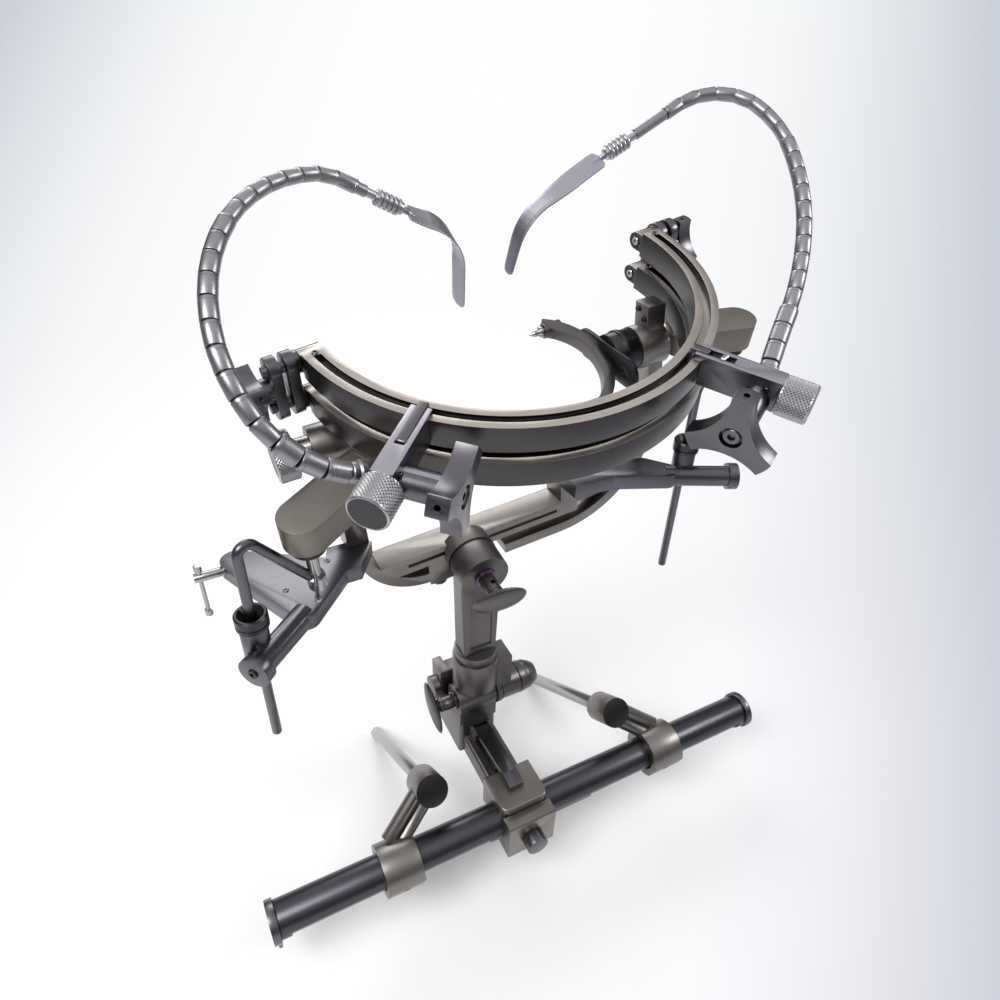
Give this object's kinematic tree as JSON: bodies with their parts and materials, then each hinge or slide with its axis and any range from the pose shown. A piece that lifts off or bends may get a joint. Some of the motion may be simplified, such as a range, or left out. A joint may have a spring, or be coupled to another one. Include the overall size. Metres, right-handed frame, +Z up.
{
  "type": "brain retractor",
  "caption": "Neurosurgical brain retractor: table bar, jointed upright, pinned skull clamp, twin half-ring halo and bead-chain arms with thin curved blades.",
  "frame": {"origin": "on the axis of the left table rod, 60 mm from its free end, where a table rail socket grips it", "axes": "+X along the crossbar to its right end, +Y to the back, +Z up"},
  "size_m": [0.4705, 0.2615, 0.598],
  "materials": {
    "satin_steel": "satin",
    "polished_steel": "polished",
    "ring_steel": "satin",
    "cast_alloy": "satin",
    "dark_oxide": "satin",
    "knurled_steel": "knurled"
  },
  "bodies": {
    "table_side": {"left_table_arm": "cast_alloy", "left_table_rod": "polished_steel"},
    "bar": {"crossbar": "cast_alloy", "left_end_cap": "satin_steel", "right_end_cap": "satin_steel"},
    "right_table_side": {"right_table_arm": "cast_alloy", "right_table_rod": "polished_steel"},
    "centre_clamp": {"clamp_block": "cast_alloy", "clamp_jaw": "cast_alloy", "transitional_arm": "cast_alloy"},
    "jaw_bolt": {"clamp_bolt": "satin_steel"},
    "lever": {"cam_lever": "dark_oxide"},
    "elbow": {"elbow_body": "cast_alloy"},
    "elbow_grip": {"elbow_handle": "satin_steel"},
    "upright": {"upright_arm": "cast_alloy"},
    "swivel_grip": {"swivel_handle": "satin_steel"},
    "skull_clamp": {"skull_frame": "cast_alloy", "left_frame_clamp": "cast_alloy", "right_frame_clamp": "cast_alloy"},
    "rail_lock": {"rail_lock_screw": "satin_steel"},
    "rail": {"extension_rail": "cast_alloy"},
    "rocker": {"rocker_hub": "satin_steel", "index_plate": "satin_steel", "rocker_arm": "cast_alloy", "back_rocker_pin": "polished_steel", "front_rocker_pin": "polished_steel"},
    "pressure_sleeve": {"torque_sleeve": "polished_steel", "single_pin": "polished_steel"},
    "pressure_knob": {"torque_knob": "dark_oxide"},
    "halo_base": {"lower_half_ring": "ring_steel", "left_halo_link": "satin_steel", "right_halo_link": "satin_steel", "left_support_arm": "cast_alloy", "right_support_arm": "cast_alloy", "left_eye_screw": "dark_oxide", "right_eye_screw": "dark_oxide", "left_bent_rod": "polished_steel", "right_bent_rod": "polished_steel"},
    "halo_top": {"upper_half_ring": "ring_steel"},
    "left_halo_grip": {"left_halo_knob": "satin_steel"},
    "right_halo_grip": {"right_halo_knob": "satin_steel"},
    "left_collet": {"left_collet_nut": "knurled_steel"},
    "right_collet": {"right_collet_nut": "knurled_steel"},
    "t_screw": {"left_t_screw": "satin_steel"},
    "left_bracket_body": {"left_bracket": "satin_steel"},
    "left_claw_body": {"left_claw": "satin_steel"},
    "left_clamp_grip": {"left_clamp_knob": "knurled_steel"},
    "left_tension_grip": {"left_tension_knob": "satin_steel"},
    "left_base_chain": {"left_base_beads": "polished_steel"},
    "left_tip_chain": {"left_tip_beads": "polished_steel"},
    "left_chuck_nut": {"left_chuck": "satin_steel"},
    "left_spatula": {"left_blade": "polished_steel"},
    "right_bracket_body": {"right_bracket": "satin_steel"},
    "right_claw_body": {"right_claw": "satin_steel"},
    "right_clamp_grip": {"right_clamp_knob": "knurled_steel"},
    "right_tension_grip": {"right_tension_knob": "satin_steel"},
    "right_base_chain": {"right_base_beads": "polished_steel"},
    "right_tip_chain": {"right_tip_beads": "polished_steel"},
    "right_chuck_nut": {"right_chuck": "satin_steel"},
    "right_spatula": {"right_blade": "polished_steel"}
  },
  "joints": [
    {"name": "bar_slide", "type": "slide", "parent": "table_side", "child": "bar", "axis": [1, 0, 0], "range_m": [-0.02, 0.02]},
    {"name": "right_table_slide", "type": "slide", "parent": "bar", "child": "right_table_side", "axis": [1, 0, 0], "range_m": [-0.02, 0.02]},
    {"name": "clamp_tilt", "type": "hinge", "parent": "bar", "child": "centre_clamp", "pos_m": [0.073, -0.12765, 0.02847], "axis": [1, 0, 0], "range_deg": [-10, 10]},
    {"name": "jaw_bolt_turn", "type": "hinge", "parent": "centre_clamp", "child": "jaw_bolt", "pos_m": [0.073, -0.15665, 0.02346], "axis": [0, 1, 0], "continuous": true},
    {"name": "lever_swing", "type": "hinge", "parent": "centre_clamp", "child": "lever", "pos_m": [0.072, -0.05565, 0.05047], "axis": [-1, 0, 0], "range_deg": [0, 60]},
    {"name": "elbow_tilt", "type": "hinge", "parent": "centre_clamp", "child": "elbow", "pos_m": [0.056, -0.03765, 0.08647], "axis": [1, 0, 0], "range_deg": [-8, 10]},
    {"name": "elbow_grip_turn", "type": "hinge", "parent": "centre_clamp", "child": "elbow_grip", "pos_m": [0.056, -0.03765, 0.08647], "axis": [1, 0, 0], "continuous": true},
    {"name": "upright_turn", "type": "hinge", "parent": "elbow", "child": "upright", "pos_m": [0.072, -0.03765, 0.13947], "axis": [0, 0, 1], "range_deg": [-12, 12]},
    {"name": "swivel_grip_turn", "type": "hinge", "parent": "upright", "child": "swivel_grip", "pos_m": [0.072, -0.03765, 0.24147], "axis": [0, 0.9945, 0.1045], "continuous": true},
    {"name": "skull_clamp_roll", "type": "hinge", "parent": "upright", "child": "skull_clamp", "pos_m": [0.072, -0.03765, 0.24147], "axis": [0, 0.9945, 0.1045], "range_deg": [-15, 15]},
    {"name": "rail_lock_turn", "type": "hinge", "parent": "skull_clamp", "child": "rail_lock", "pos_m": [0.05121, -0.00765, 0.21736], "axis": [-0.0958, 0, 0.9954], "continuous": true},
    {"name": "rail_slide", "type": "slide", "parent": "skull_clamp", "child": "rail", "axis": [0.9954, 0, 0.0958], "range_m": [-0.012, 0.002]},
    {"name": "rocker_turn", "type": "hinge", "parent": "rail", "child": "rocker", "pos_m": [0.21781, -0.00765, 0.38611], "axis": [0.9954, 0, 0.0958], "range_deg": [-20, 20]},
    {"name": "pressure_knob_turn", "type": "hinge", "parent": "skull_clamp", "child": "pressure_knob", "pos_m": [-0.05393, -0.00765, 0.35994], "axis": [0.9954, 0, 0.0958], "range_deg": [0, 361]},
    {"name": "pressure_sleeve_slide", "type": "slide", "parent": "skull_clamp", "child": "pressure_sleeve", "axis": [0.9954, 0, 0.0958], "range_m": [0, 0.006]},
    {"name": "halo_lift", "type": "slide", "parent": "skull_clamp", "child": "halo_base", "axis": [0, 0, 1], "range_m": [0, 0.025]},
    {"name": "halo_fold", "type": "hinge", "parent": "halo_base", "child": "halo_top", "pos_m": [0.11022, 0.01827, 0.43858], "axis": [-0.9846, -0.1369, -0.1089], "range_deg": [0, 25]},
    {"name": "left_halo_grip_turn", "type": "hinge", "parent": "halo_base", "child": "left_halo_grip", "pos_m": [-0.06089, -0.00331, 0.40577], "axis": [0.9846, 0.1369, 0.1089], "continuous": true},
    {"name": "left_collet_turn", "type": "hinge", "parent": "skull_clamp", "child": "left_collet", "pos_m": [-0.104, -0.08265, 0.29646], "axis": [0, 0, 1], "continuous": true},
    {"name": "right_halo_grip_turn", "type": "hinge", "parent": "halo_base", "child": "right_halo_grip", "pos_m": [0.28371, 0.04462, 0.44389], "axis": [0.9846, 0.1369, 0.1089], "continuous": true},
    {"name": "right_collet_turn", "type": "hinge", "parent": "skull_clamp", "child": "right_collet", "pos_m": [0.2573, -0.04765, 0.31046], "axis": [0, 0, 1], "continuous": true},
    {"name": "t_screw_turn", "type": "hinge", "parent": "skull_clamp", "child": "t_screw", "pos_m": [-0.115, -0.00065, 0.27247], "axis": [1, 0, 0], "continuous": true},
    {"name": "left_bracket_travel", "type": "hinge", "parent": "halo_top", "child": "left_bracket_body", "pos_m": [0.1105, 0.00985, 0.44666], "axis": [-0.085, -0.17, 0.9818], "range_deg": [-8, 8]},
    {"name": "left_claw_slide", "type": "slide", "parent": "left_bracket_body", "child": "left_claw_body", "axis": [-0.6943, -0.6967, -0.1807], "range_m": [0, 0.0006]},
    {"name": "left_clamp_knob_turn", "type": "hinge", "parent": "left_bracket_body", "child": "left_clamp_grip", "pos_m": [-0.02845, -0.12899, 0.40347], "axis": [-0.6943, -0.6967, -0.1807], "range_deg": [0, 217]},
    {"name": "left_tension_knob_turn", "type": "hinge", "parent": "left_bracket_body", "child": "left_tension_grip", "pos_m": [0.00137, -0.13895, 0.39924], "axis": [0.7147, -0.697, -0.0588], "continuous": true},
    {"name": "left_base_bend", "type": "hinge", "parent": "left_bracket_body", "child": "left_base_chain", "pos_m": [-0.02901, -0.10932, 0.40174], "axis": [-0.3835, 0.6, -0.7021], "range_deg": [-8, 8]},
    {"name": "left_tip_bend", "type": "hinge", "parent": "left_base_chain", "child": "left_tip_chain", "pos_m": [-0.08973, -0.05881, 0.47807], "axis": [-0.3835, 0.6, -0.7021], "range_deg": [-10, 10]},
    {"name": "left_chuck_turn", "type": "hinge", "parent": "left_tip_chain", "child": "left_chuck_nut", "pos_m": [0.04479, 0.05019, 0.49773], "axis": [0.8778, 0.0006, -0.4789], "continuous": true},
    {"name": "left_blade_turn", "type": "hinge", "parent": "left_tip_chain", "child": "left_spatula", "pos_m": [0.04479, 0.05019, 0.49773], "axis": [0.8778, 0.0006, -0.4789], "range_deg": [-30, 30]},
    {"name": "right_bracket_travel", "type": "hinge", "parent": "halo_top", "child": "right_bracket_body", "pos_m": [0.1105, 0.00985, 0.44666], "axis": [-0.085, -0.17, 0.9818], "range_deg": [-8, 8]},
    {"name": "right_claw_slide", "type": "slide", "parent": "right_bracket_body", "child": "right_claw_body", "axis": [0.5329, -0.8403, -0.0994], "range_m": [0, 0.0006]},
    {"name": "right_clamp_knob_turn", "type": "hinge", "parent": "right_bracket_body", "child": "right_clamp_grip", "pos_m": [0.2182, -0.15787, 0.41982], "axis": [0.5329, -0.8403, -0.0994], "range_deg": [0, 217]},
    {"name": "right_tension_knob_turn", "type": "hinge", "parent": "right_bracket_body", "child": "right_tension_grip", "pos_m": [0.18097, -0.16488, 0.41029], "axis": [-0.8419, -0.5147, -0.162], "continuous": true},
    {"name": "right_base_bend", "type": "hinge", "parent": "right_bracket_body", "child": "right_base_chain", "pos_m": [0.22349, -0.13889, 0.41847], "axis": [-0.3675, -0.4565, 0.8103], "range_deg": [-8, 8]},
    {"name": "right_tip_bend", "type": "hinge", "parent": "right_base_chain", "child": "right_tip_chain", "pos_m": [0.29958, -0.0707, 0.4914], "axis": [-0.3675, -0.4565, 0.8103], "range_deg": [-10, 10]},
    {"name": "right_chuck_turn", "type": "hinge", "parent": "right_tip_chain", "child": "right_chuck_nut", "pos_m": [0.22144, 0.04555, 0.52145], "axis": [-0.9021, -0.0367, -0.4299], "continuous": true},
    {"name": "right_blade_turn", "type": "hinge", "parent": "right_tip_chain", "child": "right_spatula", "pos_m": [0.22144, 0.04555, 0.52145], "axis": [-0.9021, -0.0367, -0.4299], "range_deg": [-30, 30]}
  ],
  "couplings": [
    {"joint": "pressure_knob_turn", "follows": "pressure_sleeve_slide", "rad_per_m": 1047.2},
    {"joint": "left_clamp_knob_turn", "follows": "left_claw_slide", "rad_per_m": 6283.2},
    {"joint": "right_clamp_knob_turn", "follows": "right_claw_slide", "rad_per_m": 6283.2}
  ]
}
